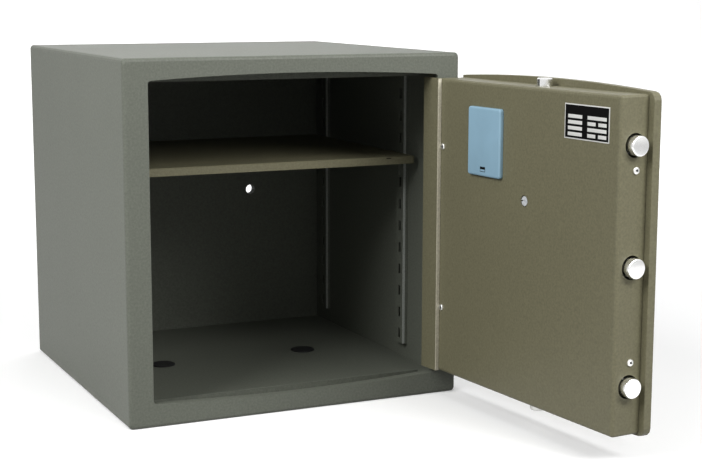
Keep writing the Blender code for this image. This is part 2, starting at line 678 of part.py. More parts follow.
def build_door_plate(paint, door):
    """The thick front plate, bowed at top and bottom, bevelled behind so that it swings past the post."""

    def plate_outline(inset):
        return outline(PLATE_HALF - inset, PLATE_HALF_HEIGHT - inset, PLATE_CORNER, ARCH_RISE, ARCH_STEPS,
                       (0, OPENING_MIDDLE))

    plate = pillow(plate_outline, "y", 0.0, PLATE_THICKNESS, PLATE_EDGE_ROUND, PLATE_BACK_ROUND)
    past = PLATE_THICKNESS
    knife = PLATE_HALF - PLATE_BEVEL_LEAD
    wedge = [(knife - PLATE_THICKNESS - past, PLATE_THICKNESS + past), (knife + past, -past),
             (knife + 2 * past, PLATE_THICKNESS + past)]
    plate = cut(plate, prism(wedge, "z", -BODY_HEIGHT, 2 * BODY_HEIGHT))
    spindle_hole = turned("y", (SPINDLE_X, SPINDLE_HEIGHT), SPINDLE_DIAMETER / 2 + FIT_GAP, -PLATE_THICKNESS,
                          2 * PLATE_THICKNESS, sides=SMALL_SIDES)
    cable_hole = turned("y", (KEYPAD_X, KEYPAD_Z), SPINDLE_DIAMETER / 2, -PLATE_THICKNESS,
                        2 * PLATE_THICKNESS, sides=SMALL_SIDES)
    piece("door_plate", cut(plate, spindle_hole, cable_hole), paint, door)


def bolt_heights():
    return {"top": BOLT_MIDDLE + BOLT_SPACING, "middle": BOLT_MIDDLE, "bottom": BOLT_MIDDLE - BOLT_SPACING}


def build_inner_cover(paint, door):
    """A pan of bent sheet over the works, holed for the bolts, the spindle and the battery box."""
    middle = ((COVER_LEFT + COVER_RIGHT) / 2, OPENING_MIDDLE)
    half = (COVER_RIGHT - COVER_LEFT) / 2

    def pan(inset, level):
        corner = max(COVER_CORNER - inset, COVER_INNER_CORNER)
        return lay(outline(half - inset, COVER_HALF_HEIGHT - inset, corner, middle=middle), "y", level)

    inside = COVER_BACK - COVER_WALL
    rings = [pan(COVER_WALL + COVER_BEND / 2, inside), pan(COVER_WALL, inside - COVER_BEND / 2),
             pan(COVER_WALL, COVER_FRONT)]
    rings.append(pan(0.0, COVER_FRONT))
    for step in range(CORNER_STEPS + 1):
        turn = math.pi / 2 * step / CORNER_STEPS
        rings.append(pan(COVER_BEND * (1 - math.cos(turn)), COVER_BACK - COVER_BEND * (1 - math.sin(turn))))
    cover = skin(rings)
    hole = BOLT_DIAMETER / 2 + BOLT_HOLE_CLEARANCE
    for z in bolt_heights().values():
        tool = turned("x", (BOLT_Y, z), hole, COVER_LEFT - COVER_WALL, COVER_LEFT + 2 * COVER_WALL)
        cover = cut(cover, tool)
    rod_hole = ROD_DIAMETER / 2 + ROD_HOLE_CLEARANCE
    for z in (COVER_TOP, COVER_BOTTOM):
        cover = cut(cover, turned("z", (ROD_X, BOLT_Y), rod_hole, z - 2 * COVER_WALL, z + 2 * COVER_WALL))
    cover = cut(cover, turned("y", (SPINDLE_X, SPINDLE_HEIGHT), SPINDLE_HOLE / 2, inside - COVER_WALL,
                              COVER_BACK + COVER_WALL, sides=SMALL_SIDES))
    half_x = BATTERY_COVER_WIDTH / 2 - BATTERY_WINDOW_LAP
    half_z = BATTERY_COVER_HEIGHT / 2 - BATTERY_WINDOW_LAP
    window = block((BATTERY_X - half_x, inside - COVER_WALL, BATTERY_Z - half_z),
                   (BATTERY_X + half_x, COVER_BACK + COVER_WALL, BATTERY_Z + half_z))
    piece("inner_cover", cut(cover, window), paint, door)


def build_lock_bolts(steel, slide):
    for name, z in bolt_heights().items():
        bolt = turned("x", (BOLT_Y, z), BOLT_DIAMETER / 2, BOLT_TIP_X, BOLT_REAR_X, BOLT_CHAMFER)
        piece(f"lock_bolt_{name}", bolt, steel, slide)


def stud_places():
    x = BOLT_REAR_X + STUD_BEHIND_BOLTS
    spread = BOLT_SPACING - STUD_BELOW_BOLT
    return [(x, BOLT_MIDDLE - spread), (x, BOLT_MIDDLE + spread)]


def build_carrier(steel, slide):
    """A plate behind the bolts: one flange carries them, and slots pass the motion to the rods."""
    left = BOLT_REAR_X + FIT_GAP
    right = SPINDLE_X + BOLT_THROW + CARRIER_BESIDE_SPINDLE
    top = max(BOLT_MIDDLE + BOLT_SPACING + CARRIER_OVERRUN, ROD_PIN_HIGH + CARRIER_OVERRUN)
    bottom = min(BOLT_MIDDLE - BOLT_SPACING - CARRIER_OVERRUN, ROD_PIN_LOW - CARRIER_OVERRUN)
    web = block((left, CARRIER_FRONT, bottom), (right, CARRIER_BACK, top))
    flange = block((left, BOLT_Y - BOLT_DIAMETER / 2, bottom), (left + CARRIER_FLANGE, CARRIER_BACK, top))
    carrier = fuse(web, flange)
    wide = CRANK_PIN_DIAMETER + 2 * SLIDE_CLEARANCE
    slope = math.atan2(ROD_THROW, BOLT_THROW)
    run = math.hypot(ROD_THROW, BOLT_THROW)
    half_x, half_z = BOLT_THROW / 2, ROD_THROW / 2
    shapes = [slot(run, wide, slope, (ROD_X + half_x, ROD_PIN_HIGH + half_z)),
              slot(run, wide, -slope, (ROD_X + half_x, ROD_PIN_LOW - half_z))]
    spindle_wide = SPINDLE_DIAMETER + 2 * SLIDE_CLEARANCE
    shapes.append(slot(BOLT_THROW, spindle_wide, 0.0, (SPINDLE_X + half_x, SPINDLE_HEIGHT)))
    low_pin = CRANK_RADIUS * math.cos(CRANK_ANGLE / 2)
    pin_rise = CRANK_RADIUS - low_pin
    crank_middle = (SPINDLE_X + half_x, SPINDLE_HEIGHT + (low_pin + CRANK_RADIUS) / 2)
    shapes.append(slot(pin_rise, wide, math.pi / 2, crank_middle))
    stud_wide = STUD_DIAMETER + 2 * SLIDE_CLEARANCE
    shapes += [slot(BOLT_THROW, stud_wide, 0.0, (x + half_x, z)) for x, z in stud_places()]
    for shape in shapes:
        tool = prism(shape, "y", CARRIER_FRONT - CARRIER_SHEET, CARRIER_BACK + CARRIER_SHEET)
        carrier = cut(carrier, tool)
    piece("bolt_carrier", carrier, steel, slide)


def build_rods(steel, paint, top_slide, bottom_slide, door):
    """Bolts at top and bottom, each with a pin in the carrier's slanted slot and a guide on the plate."""
    ends = (("top", top_slide, ROD_TIP_TOP, -1, ROD_PIN_HIGH, COVER_TOP),
            ("bottom", bottom_slide, ROD_TIP_BOTTOM, 1, ROD_PIN_LOW, COVER_BOTTOM))
    for name, slide, tip, inward, pin_z, edge in ends:
        inner = tip + inward * ROD_LENGTH
        chamfers = (0.0, BOLT_CHAMFER) if inward < 0 else (BOLT_CHAMFER, 0.0)
        rod = turned("z", (ROD_X, BOLT_Y), ROD_DIAMETER / 2, min(tip, inner), max(tip, inner), *chamfers)
        pin = turned("y", (ROD_X, pin_z), CRANK_PIN_DIAMETER / 2, BOLT_Y, PIN_BACK, sides=SMALL_SIDES)
        piece(f"{name}_bolt", fuse(rod, pin), steel, slide)
        near = edge + inward * ROD_GUIDE_FROM_COVER
        far = near + inward * ROD_GUIDE_HEIGHT
        low, high = min(near, far), max(near, far)
        guide = block((ROD_X - ROD_GUIDE_WIDTH / 2, WORKS_FRONT, low),
                      (ROD_X + ROD_GUIDE_WIDTH / 2, CARRIER_FRONT - SLIDE_CLEARANCE, high))
        hole = turned("z", (ROD_X, BOLT_Y), ROD_DIAMETER / 2 + SLIDE_CLEARANCE, low - ROD_LENGTH,
                      high + ROD_LENGTH)
        piece(f"{name}_bolt_guide", cut(guide, hole), paint, door)


def build_handle(steel, black, turn, door):
    """Lever, spindle and cam, with the crank pin that moves the carrier."""
    axis = (SPINDLE_X, SPINDLE_HEIGHT)
    hub_front = -ROSE_THICKNESS - FIT_GAP - HUB_HEIGHT
    spindle_front = hub_front + LEVER_THICKNESS + FIT_GAP
    spindle = turned("y", axis, SPINDLE_DIAMETER / 2, spindle_front, SPINDLE_BACK)
    slot_half = SPINDLE_SLOT / 2
    slot_deep = SPINDLE_SLOT
    slot_cut = block((SPINDLE_X - SPINDLE_DIAMETER, SPINDLE_BACK - slot_deep, SPINDLE_HEIGHT - slot_half),
                     (SPINDLE_X + SPINDLE_DIAMETER, SPINDLE_BACK + slot_deep, SPINDLE_HEIGHT + slot_half))
    piece("handle_spindle", cut(spindle, slot_cut), steel, turn)

    bore = SPINDLE_DIAMETER / 2 + FIT_GAP
    disc = turned("y", axis, CAM_RADIUS, CAM_FRONT, CAM_BACK)
    pin_angle = math.pi / 2 - CRANK_ANGLE / 2
    pin_place = (SPINDLE_X + CRANK_RADIUS * math.cos(pin_angle),
                 SPINDLE_HEIGHT + CRANK_RADIUS * math.sin(pin_angle))
    pin = turned("y", pin_place, CRANK_PIN_DIAMETER / 2, CAM_FRONT + CAM_THICKNESS / 2, PIN_BACK,
                 sides=SMALL_SIDES)
    cam = fuse(disc, pin)
    cam = cut(cam, turned("y", axis, bore, CAM_FRONT - CAM_THICKNESS, SPINDLE_BACK + CAM_THICKNESS))
    piece("cam", cam, steel, turn)

    rose_hole = turned("y", axis, bore, -2 * ROSE_THICKNESS, ROSE_THICKNESS)
    rose = turned("y", axis, ROSE_DIAMETER / 2, -FIT_GAP - ROSE_THICKNESS, -FIT_GAP, LEVER_ROUND / 2)
    piece("handle_rose", cut(rose, rose_hole), black, door)

    hub_back = -ROSE_THICKNESS - 2 * FIT_GAP
    hub = turned("y", axis, HUB_DIAMETER / 2, hub_front, hub_back, LEVER_ROUND)

    def lever_outline(inset):
        root_half = LEVER_WIDTH / 2 - inset
        tip_half = LEVER_TIP_WIDTH / 2 - inset
        tip_x = SPINDLE_X + LEVER_LENGTH - LEVER_TIP_WIDTH / 2
        points = [(SPINDLE_X, SPINDLE_HEIGHT - root_half)]
        for step in range(2 * CORNER_STEPS + 1):
            angle = -math.pi / 2 + math.pi * step / (2 * CORNER_STEPS)
            points.append((tip_x + tip_half * math.cos(angle), SPINDLE_HEIGHT + tip_half * math.sin(angle)))
        points.append((SPINDLE_X, SPINDLE_HEIGHT + root_half))
        return points

    lever = pillow(lever_outline, "y", hub_front + LEVER_ROUND, hub_front + LEVER_ROUND + LEVER_THICKNESS,
                   LEVER_ROUND, LEVER_ROUND)
    lean = Matrix.Rotation(CRANK_ANGLE, 3, "Y")
    bmesh.ops.rotate(lever, verts=lever.verts, cent=(SPINDLE_X, 0, SPINDLE_HEIGHT), matrix=lean)
    lever = fuse(hub, lever)
    lever = cut(lever, turned("y", axis, bore, spindle_front - FIT_GAP, hub_back + HUB_HEIGHT))
    piece("handle", lever, black, turn)


def build_studs(steel, door):
    """Two studs on the plate that the carrier slides along."""
    for place, name in zip(stud_places(), ("lower", "upper")):
        stud = turned("y", place, STUD_DIAMETER / 2, WORKS_FRONT, PIN_BACK, sides=SMALL_SIDES)
        piece(f"carrier_stud_{name}", stud, steel, door)


def build_batteries(plastic, blue, cells_look, door, swing):
    """Battery box behind the window, its cells, and the snap-on cover."""
    half_x = BATTERY_COVER_WIDTH / 2 - BATTERY_WINDOW_LAP - FIT_GAP
    half_z = BATTERY_COVER_HEIGHT / 2 - BATTERY_WINDOW_LAP - FIT_GAP
    front = COVER_BACK - BATTERY_BOX_DEPTH
    wall = BATTERY_BOX_WALL

    def box_ring(inset, level):
        points = outline(half_x - inset, half_z - inset, wall / 2, middle=(BATTERY_X, BATTERY_Z))
        return lay(points, "y", level)

    outside = [box_ring(0, front), box_ring(0, COVER_BACK)]
    inside = [box_ring(wall, COVER_BACK), box_ring(wall, front + wall)]
    piece("battery_box", skin(outside + inside), plastic, door)

    pitch = (2 * half_x - 2 * wall) / CELL_COUNT
    for number in range(CELL_COUNT):
        x = BATTERY_X + pitch * (number - (CELL_COUNT - 1) / 2)
        up = 1 if number % 2 == 0 else -1
        y = front + wall + FIT_GAP + CELL_DIAMETER / 2
        shoulder = CELL_LENGTH / 2 - CELL_TIP_LENGTH
        ends = [(CELL_DIAMETER / 2, -CELL_LENGTH / 2), (CELL_DIAMETER / 2, shoulder),
                (CELL_TIP_DIAMETER / 2, shoulder), (CELL_TIP_DIAMETER / 2, CELL_LENGTH / 2)]
        cell = skin([lay(circle(r, SMALL_SIDES, (x, y)), "z", BATTERY_Z + up * z) for r, z in ends])
        piece(f"battery_cell_{number + 1}", cell, cells_look, door)

    def cover_outline(inset):
        return outline(BATTERY_COVER_WIDTH / 2 - inset, BATTERY_COVER_HEIGHT / 2 - inset,
                       BATTERY_COVER_CORNER, middle=(BATTERY_X, BATTERY_Z))

    low = COVER_BACK + FIT_GAP
    lid = pillow(cover_outline, "y", low, low + BATTERY_COVER_THICKNESS, 0.0, BATTERY_COVER_ROUND)
    latch_low = BATTERY_Z - BATTERY_COVER_HEIGHT / 2 + LATCH_RISE
    latch = block((BATTERY_X - LATCH_WIDTH / 2, low + BATTERY_COVER_THICKNESS / 2, latch_low),
                  (BATTERY_X + LATCH_WIDTH / 2, low + 2 * BATTERY_COVER_THICKNESS, latch_low + LATCH_HEIGHT))
    piece("battery_cover", cut(lid, latch), blue, swing)


def build_lock_module(plastic, door):
    """The driven lock's case, fixed to the plate under the battery box."""
    top = BATTERY_Z - BATTERY_COVER_HEIGHT / 2 - MODULE_DROP

    def case_outline(inset):
        return outline(MODULE_WIDTH / 2 - inset, MODULE_HEIGHT / 2 - inset, KEYPAD_ROUND,
                       middle=(BATTERY_X, top - MODULE_HEIGHT / 2))

    case = pillow(case_outline, "y", WORKS_FRONT, WORKS_FRONT + MODULE_DEPTH, 0.0, KEY_ROUND)
    piece("lock_module", case, plastic, door)


def build_keypad(plastic, key_look, door):
    """A keypad on the front: a rimmed housing and twelve keys that press in."""
    back = -FIT_GAP
    front = back - KEYPAD_DEPTH

    def housing_outline(inset):
        return outline(KEYPAD_WIDTH / 2 - inset, KEYPAD_HEIGHT / 2 - inset, KEYPAD_CORNER,
                       middle=(KEYPAD_X, KEYPAD_Z))

    housing = pillow(housing_outline, "y", front, back, KEYPAD_ROUND, 0.0)
    floor = front + KEYPAD_WELL_DEPTH
    half_x = KEYPAD_WIDTH / 2 - KEYPAD_RIM
    half_z = KEYPAD_HEIGHT / 2 - KEYPAD_RIM
    well_outline = outline(half_x, half_z, KEY_ROUND, middle=(KEYPAD_X, KEYPAD_Z))
    well = prism(well_outline, "y", front - KEYPAD_DEPTH, floor)
    piece("keypad_housing", cut(housing, well), plastic, door)

    key_width = (2 * half_x - KEY_GAP * (KEY_COLUMNS + 1)) / KEY_COLUMNS
    key_height = (2 * half_z - KEY_GAP * (KEY_ROWS + 1)) / KEY_ROWS
    key_front = front - KEY_PROUD
    key_back = floor - FIT_GAP - KEY_TRAVEL
    for row in range(KEY_ROWS):
        for column in range(KEY_COLUMNS):
            x = KEYPAD_X - half_x + KEY_GAP + key_width / 2 + column * (key_width + KEY_GAP)
            z = KEYPAD_Z + half_z - KEY_GAP - key_height / 2 - row * (key_height + KEY_GAP)

            def key_outline(inset):
                return outline(key_width / 2 - inset, key_height / 2 - inset, KEY_CORNER, middle=(x, z))

            name = f"key_{row * KEY_COLUMNS + column + 1:02d}"
            press = empty(f"{name}_press", (x, key_front, z), door)
            piece(name, pillow(key_outline, "y", key_front, key_back, KEY_ROUND, 0.0), key_look, press)


def main():
    start_clean()
    body_paint = finish("body_paint", (0.145, 0.150, 0.125), 0.5)
    door_paint = finish("door_paint", (0.200, 0.185, 0.135), 0.45)
    bright_steel = finish("bright_steel", (0.80, 0.80, 0.80), 0.25, 1.0)
    zinc_steel = finish("zinc_steel", (0.55, 0.55, 0.52), 0.4, 1.0)
    black_plastic = finish("black_plastic", (0.02, 0.02, 0.022), 0.45)
    blue_plastic = finish("blue_plastic", (0.25, 0.42, 0.56), 0.45)
    key_plastic = finish("key_plastic", (0.30, 0.31, 0.32), 0.5)
    cell_wrap = finish("cell_wrap", (0.10, 0.11, 0.12), 0.35)

    root = empty("safe", (0, 0, 0))
    door = empty("door_swing", (HINGE_X, HINGE_DEPTH, 0), root)
    bolt_slide = empty("carrier_slide", (BOLT_REAR_X, BOLT_Y, BOLT_MIDDLE), door)
    top_slide = empty("top_bolt_slide", (ROD_X, BOLT_Y, COVER_TOP), door)
    bottom_slide = empty("bottom_bolt_slide", (ROD_X, BOLT_Y, COVER_BOTTOM), door)
    handle_turn = empty("handle_turn", (SPINDLE_X, 0, SPINDLE_HEIGHT), door)
    lid_swing = empty("battery_cover_swing", (BATTERY_X, COVER_BACK + FIT_GAP + BATTERY_COVER_THICKNESS,
                                              BATTERY_TOP), door)
    shelf_lift = empty("shelf_lift", (0, (SHELF_FRONT_DEPTH + SHELF_REAR) / 2, SHELF_TOP), root)

    build_casing(body_paint, root)
    build_back(body_paint, root)
    build_front_frame(body_paint, root)
    build_door_stop(body_paint, root)
    build_floor(body_paint, black_plastic, root)
    build_rails(body_paint, root)
    build_shelf(door_paint, zinc_steel, root, shelf_lift)
    build_hinge(door_paint, zinc_steel, root, door)
    build_door_plate(door_paint, door)
    build_inner_cover(door_paint, door)
    build_lock_bolts(bright_steel, bolt_slide)
    build_carrier(zinc_steel, bolt_slide)
    build_rods(bright_steel, zinc_steel, top_slide, bottom_slide, door)
    build_handle(zinc_steel, black_plastic, handle_turn, door)
    build_studs(zinc_steel, door)
    build_batteries(black_plastic, blue_plastic, cell_wrap, door, lid_swing)
    build_lock_module(black_plastic, door)
    build_keypad(black_plastic, key_plastic, door)

    root.location.y = -BODY_DEPTH / 2
    door.rotation_euler.z = DOOR_OPEN_ANGLE


main()
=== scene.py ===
# %% [markdown]
# # A steel safe, open
#
# The CAD frame already holds every piece of the safe at its real size. This lesson gives the pieces their
# paint, metal and plastic, adds the small things that are too thin for CAD (screws, a plate, seams, legends
# on the keys), and lights the result like a plain studio photograph.

# %% Load the frame
import json
import math

import bmesh
import bpy
import numpy as np
from mathutils import Matrix, Vector


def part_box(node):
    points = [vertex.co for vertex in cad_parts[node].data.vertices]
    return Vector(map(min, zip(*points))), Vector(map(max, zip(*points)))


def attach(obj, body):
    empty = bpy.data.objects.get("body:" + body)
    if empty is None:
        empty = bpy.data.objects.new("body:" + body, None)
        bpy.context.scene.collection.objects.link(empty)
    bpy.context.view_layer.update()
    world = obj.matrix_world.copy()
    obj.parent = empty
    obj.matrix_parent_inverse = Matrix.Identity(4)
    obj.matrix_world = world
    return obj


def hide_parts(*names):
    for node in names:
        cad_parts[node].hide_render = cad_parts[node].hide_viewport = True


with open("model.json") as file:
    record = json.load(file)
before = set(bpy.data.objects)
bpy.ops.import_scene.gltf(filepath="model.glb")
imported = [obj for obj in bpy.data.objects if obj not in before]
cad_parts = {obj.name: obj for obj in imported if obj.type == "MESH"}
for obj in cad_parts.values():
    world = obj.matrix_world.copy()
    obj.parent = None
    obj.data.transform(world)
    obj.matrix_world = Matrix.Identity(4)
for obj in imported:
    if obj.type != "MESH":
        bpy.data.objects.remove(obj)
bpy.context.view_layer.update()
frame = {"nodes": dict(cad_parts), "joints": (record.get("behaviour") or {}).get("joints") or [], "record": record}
nodes = frame["nodes"]

# %% [markdown]
# ## Working on a door that stands open
#
# It is far easier to place things on the door while it is shut, when its faces are square to the axes. The
# hinge joint says where the axis is and how far the door has to turn to shut, so one matrix carries any
# point from the shut door to where the door stands in the photograph. Every new piece on the door is
# written for the shut door, and its vertices go through this matrix. The object transform stays at
# identity.

# %% From the shut door to the open one
MATRIX_SIZE = 4
QUARTER_TURN = math.pi / 2
MM = 1000.0
joints = {joint["name"]: joint for joint in frame["joints"]}
hinge = joints["door_hinge"]
OPEN_ANGLE = -math.radians(hinge["range_deg"][0])
hinge_point = Matrix.Translation(hinge["pos_m"])
OPEN = np.array(hinge_point @ Matrix.Rotation(OPEN_ANGLE, MATRIX_SIZE, "Z") @ hinge_point.inverted())
SHUT = np.linalg.inv(OPEN)


def moved(points, matrix):
    """Points carried through a 4 by 4 matrix: its turn times the point, plus its shift."""
    return np.asarray(points, float) @ matrix[:3, :3].T + matrix[:3, 3]


def shut_box(name):
    """Lowest and highest corner of a door node with the door shut."""
    mesh = nodes[name].data
    flat = np.empty(len(mesh.vertices) * 3)
    mesh.vertices.foreach_get("co", flat)
    world = moved(flat.reshape(-1, 3), np.array(nodes[name].matrix_world))
    shut = moved(world, SHUT)
    return shut.min(axis=0), shut.max(axis=0)


cover_low, cover_high = shut_box("inner_cover")
print("inner cover, shut:", cover_low.round(4), cover_high.round(4))

# %% [markdown]
# ## Node materials
#
# Each finish is a small node tree fed by Object coordinates, so it needs no unwrapping and sticks to its
# piece. A painted sheet is never one flat colour: broad soft noise drifts its tone, a fine noise speckles
# it, and another fine noise lifts the surface a little, which is the orange peel of a sprayed coat. Values
# that don't vary are set on the shader's own sockets.

# %% Tools for building a finish
FULL_SPECULAR = 0.5
SOFT_DETAIL = 2.0
FINE_DETAIL = 3.0
RAMP_LOW = 0.3
RAMP_HIGH = 0.7


def rgba(colour):
    """A colour with full opacity added as its fourth value."""
    return (*colour, 1.0)


def shade(colour, factor):
    """A colour with each channel multiplied by one factor."""
    return tuple(channel * factor for channel in colour)


class Finish:
    """A node tree with a Principled shader, written a node at a time."""

    def __init__(self, name, roughness, metallic=0.0, specular=FULL_SPECULAR):
        self.material = bpy.data.materials.new(name)
        self.material.use_nodes = True
        self.tree = self.material.node_tree
        self.shader = self.tree.nodes["Principled BSDF"]
        self.shader.inputs["Roughness"].default_value = roughness
        self.shader.inputs["Metallic"].default_value = metallic
        self.shader.inputs["Specular IOR Level"].default_value = specular
        self.place = self.tree.nodes.new("ShaderNodeTexCoord").outputs["Object"]

    def noise(self, scale, detail=SOFT_DETAIL):
        """Noise value at a scale in cycles per metre."""
        node = self.tree.nodes.new("ShaderNodeTexNoise")
        node.inputs["Scale"].default_value = scale
        node.inputs["Detail"].default_value = detail
        self.tree.links.new(self.place, node.inputs["Vector"])
        return node.outputs["Fac"]

    def ramp(self, value, low, high):
        """Two colours spread over the middle of a value's range, where noise mostly lies."""
        node = self.tree.nodes.new("ShaderNodeValToRGB")
        node.color_ramp.elements[0].position = RAMP_LOW
        node.color_ramp.elements[1].position = RAMP_HIGH
        node.color_ramp.elements[0].color = rgba(low)
        node.color_ramp.elements[1].color = rgba(high)
        self.tree.links.new(value, node.inputs["Fac"])
        return node.outputs["Color"]

    def mix(self, first, second, share):
        """Blend of two colours, share being how much of the second is used: a number or a socket."""
        node = self.tree.nodes.new("ShaderNodeMix")
        node.data_type = "RGBA"
        if isinstance(share, float):
            node.inputs["Factor"].default_value = share
        else:
            self.tree.links.new(share, node.inputs["Factor"])
        self.tree.links.new(first, node.inputs["A"])
        self.tree.links.new(second, node.inputs["B"])
        return node.outputs["Result"]

    def colour(self, value):
        """Use a colour socket as the base colour."""
        self.tree.links.new(value, self.shader.inputs["Base Color"])

    def rough(self, value, low, high):
        """Roughness that runs from low to high as a value runs from nothing to one."""
        node = self.tree.nodes.new("ShaderNodeMapRange")
        node.inputs["To Min"].default_value = low
        node.inputs["To Max"].default_value = high
        self.tree.links.new(value, node.inputs["Value"])
        self.tree.links.new(node.outputs["Result"], self.shader.inputs["Roughness"])

    def glow(self, value, strength):
        """White light of a strength, multiplied by a value from nothing to one."""
        node = self.tree.nodes.new("ShaderNodeMath")
        node.operation = "MULTIPLY"
        node.inputs[1].default_value = strength
        self.tree.links.new(value, node.inputs[0])
        self.tree.links.new(node.outputs["Value"], self.shader.inputs["Emission Strength"])

    def bump(self, value, depth, strength):
        """Tilt the shading as if the surface rose by a depth where a value is one."""
        node = self.tree.nodes.new("ShaderNodeBump")
        node.inputs["Strength"].default_value = strength
        node.inputs["Distance"].default_value = depth
        self.tree.links.new(value, node.inputs["Height"])
        self.tree.links.new(node.outputs["Normal"], self.shader.inputs["Normal"])


def looked_at(tree):
    """One for rays from the camera, a reflection or a clear piece, nothing for bounced light.

    The largest of the three ray values of the Light Path node.
    """
    path = tree.nodes.new("ShaderNodeLightPath")
    total = path.outputs["Is Camera Ray"]
    for ray in ("Is Glossy Ray", "Is Transmission Ray"):
        node = tree.nodes.new("ShaderNodeMath")
        node.operation = "MAXIMUM"
        tree.links.new(total, node.inputs[0])
        tree.links.new(path.outputs[ray], node.inputs[1])
        total = node.outputs["Value"]
    return total


DRIFT_SCALE = 7.0
DRIFT = 0.05
FLECK_SCALE = 430.0
FLECK = 0.26
FLECK_SHARE = 0.5
PEEL_SCALE = 520.0
PEEL_DEPTH = 0.0002
PEEL_STRENGTH = 0.45
PEEL_ROUGHNESS = 0.06
PAINT_SPECULAR = 0.3


def paint(name, colour, roughness):
    """Sprayed enamel: half a slow drift of tone and half fine flecks, with orange peel."""
    made = Finish(name, roughness, specular=PAINT_SPECULAR)
    drift = made.ramp(made.noise(DRIFT_SCALE), shade(colour, 1 - DRIFT), shade(colour, 1 + DRIFT))
    fleck_noise = made.noise(FLECK_SCALE, FINE_DETAIL)
    fleck = made.ramp(fleck_noise, shade(colour, 1 - FLECK), shade(colour, 1 + FLECK))
    made.colour(made.mix(drift, fleck, FLECK_SHARE))
    peel = made.noise(PEEL_SCALE)
    made.rough(peel, roughness - PEEL_ROUGHNESS, roughness + PEEL_ROUGHNESS)
    made.bump(peel, PEEL_DEPTH, PEEL_STRENGTH)
    return made.material


MARK_SCALE = 1200.0
MARK_SHADE = 0.92
MARK_ROUGHNESS = 0.06


def metal(name, colour, roughness, metallic=1.0):
    """Bare or plated steel with fine machining marks in its tone and its roughness."""
    made = Finish(name, roughness, metallic)
    marks = made.noise(MARK_SCALE)
    made.colour(made.ramp(marks, shade(colour, MARK_SHADE), colour))
    made.rough(marks, roughness - MARK_ROUGHNESS, roughness + MARK_ROUGHNESS)
    return made.material


CLOUD_SCALE = 25.0
CLOUD = 0.06
GRAIN_SCALE = 2200.0
GRAIN_DEPTH = 0.00005
GRAIN_STRENGTH = 0.3


def plastic(name, colour, roughness, specular=FULL_SPECULAR):
    """Moulded plastic: a faint cloud in its tone and a light spark-eroded texture."""
    made = Finish(name, roughness, specular=specular)
    cloud = made.noise(CLOUD_SCALE, FINE_DETAIL)
    made.colour(made.ramp(cloud, shade(colour, 1 - CLOUD), shade(colour, 1 + CLOUD)))
    made.bump(made.noise(GRAIN_SCALE), GRAIN_DEPTH, GRAIN_STRENGTH)
    return made.material


print("three kinds of finish: paint, metal and plastic")

# %% [markdown]
# ## The finishes
#
# The colours were matched to the photograph, in linear light. The body is a grey with a trace of green. The
# door and the shelf are warmer and lean to olive. The bolts are bright turned steel, and the battery cover
# is a pale blue plastic, which makes it the one cool spot on the door. The spindle's end is duller than the
# bolts, so that it takes light from the side and doesn't just mirror the dark inside of the safe. The shelf
# clips are painted with the rails.

# %% Make the finishes
BODY_COLOUR = (0.1220, 0.1310, 0.1070)
DOOR_COLOUR = (0.1480, 0.1390, 0.0850)
BRIGHT_COLOUR = (0.95, 0.95, 0.94)
ZINC_COLOUR = (0.62, 0.62, 0.60)
BLACK_COLOUR = (0.012, 0.012, 0.013)
BLUE_COLOUR = (0.246, 0.398, 0.505)
KEY_COLOUR = (0.24, 0.25, 0.26)
CELL_COLOUR = (0.05, 0.055, 0.065)
SPINDLE_COLOUR = (0.66, 0.68, 0.70)
looks = {
    "body_paint": paint("grey_green_enamel", BODY_COLOUR, roughness=0.50),
    "door_paint": paint("olive_enamel", DOOR_COLOUR, roughness=0.46),
    "bright_steel": metal("turned_steel", BRIGHT_COLOUR, roughness=0.22),
    "zinc_steel": metal("zinc_plate", ZINC_COLOUR, roughness=0.36),
    "black_plastic": plastic("black_moulding", BLACK_COLOUR, roughness=0.48),
    "blue_plastic": plastic("pale_blue_moulding", BLUE_COLOUR, roughness=0.50),
    "key_plastic": plastic("grey_keys", KEY_COLOUR, roughness=0.50),
    "cell_wrap": plastic("cell_sleeve", CELL_COLOUR, roughness=0.32),
}
node_slot = {part["node"]: part["material_slot"] for part in frame["record"]["subparts"]}
for name, node in nodes.items():
    node.data.materials.clear()
    node.data.materials.append(looks[node_slot[name]])
spindle_look = metal("spindle_end", SPINDLE_COLOUR, roughness=0.55, metallic=0.4)
nodes["handle_spindle"].data.materials[0] = spindle_look
nodes["bottom_bolt"].data.materials[0] = looks["zinc_steel"]
for name in nodes:
    if name.startswith("shelf_clip"):
        nodes[name].data.materials[0] = looks["body_paint"]
print("finished", len(node_slot), "nodes in", len(looks), "finishes")

# %% [markdown]
# ## New meshes from arrays
#
# A new piece is a grid of points: a number of rings, each with the same number of points. Joining ring to
# ring gives quads, and one face over the first ring and one over the last close it. A turned piece is the
# simplest grid: one profile swept round an axis. All points of a piece are computed at once, as one array.

# %% Tools for new pieces
SMOOTH_ANGLE = math.radians(38.0)
NEARLY_UPRIGHT = 0.9
SLAB_STEPS = 3
CORNER_SHARE = 1.5
CORNER_LEAST = 0.3
CORNER_SIDE_X = np.array((1.0, -1.0, -1.0, 1.0))
CORNER_SIDE_Z = np.array((1.0, 1.0, -1.0, -1.0))


